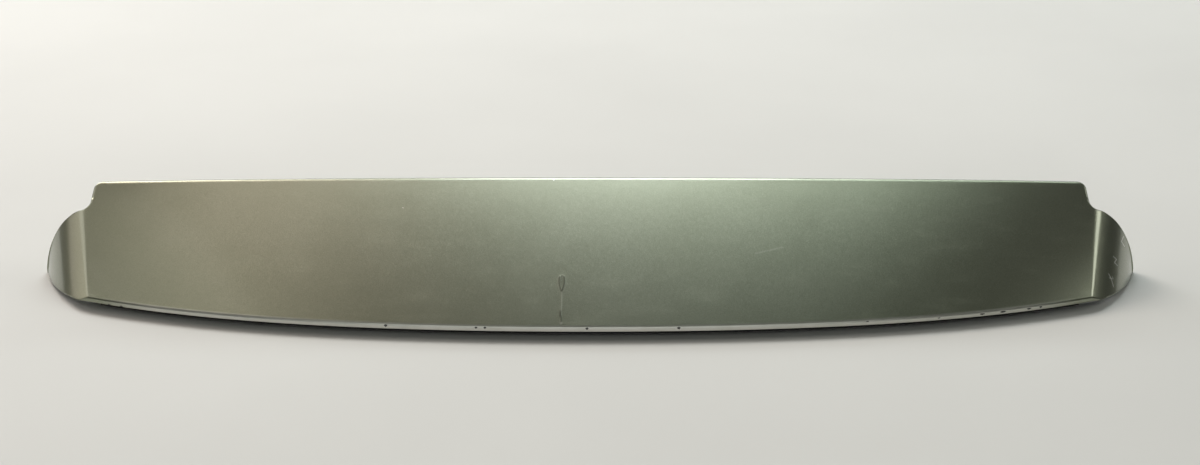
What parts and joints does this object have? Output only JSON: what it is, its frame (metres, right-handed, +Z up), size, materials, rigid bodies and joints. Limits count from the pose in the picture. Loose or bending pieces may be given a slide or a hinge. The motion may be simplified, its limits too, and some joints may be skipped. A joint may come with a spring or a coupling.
{
  "type": "tailgate spoiler",
  "caption": "Roof-edge tailgate spoiler: a long painted wedge with a bowed front lip, a straight rear edge, rounded ears folded down at its ends and a closed underside with studs.",
  "frame": {"origin": "middle of the overall box in plan, on the surface that the part lies on", "axes": "+X across the vehicle, +Y from the leading edge to the trailing edge, +Z up off the mounting side"},
  "size_m": [1.2134, 0.195, 0.1099],
  "materials": {
    "body_paint": "grey-green metallic paint under clear coat, worn, chipped along the lip",
    "grained_plastic": "fine moulded grain, unpainted black",
    "zinc_steel": "bright zinc plate",
    "closed_foam": "black closed-cell foam",
    "clip_plastic": "natural white moulded nylon",
    "seal_rubber": "matt black extruded rubber"
  },
  "bodies": {
    "root": {"outer_shell": "body_paint", "closing_panel": "grained_plastic", "mounting_studs": "zinc_steel", "stud_washers": "closed_foam", "retaining_clips": "clip_plastic", "leading_edge_seal": "seal_rubber", "ear_pads": "closed_foam"}
  },
  "joints": []
}
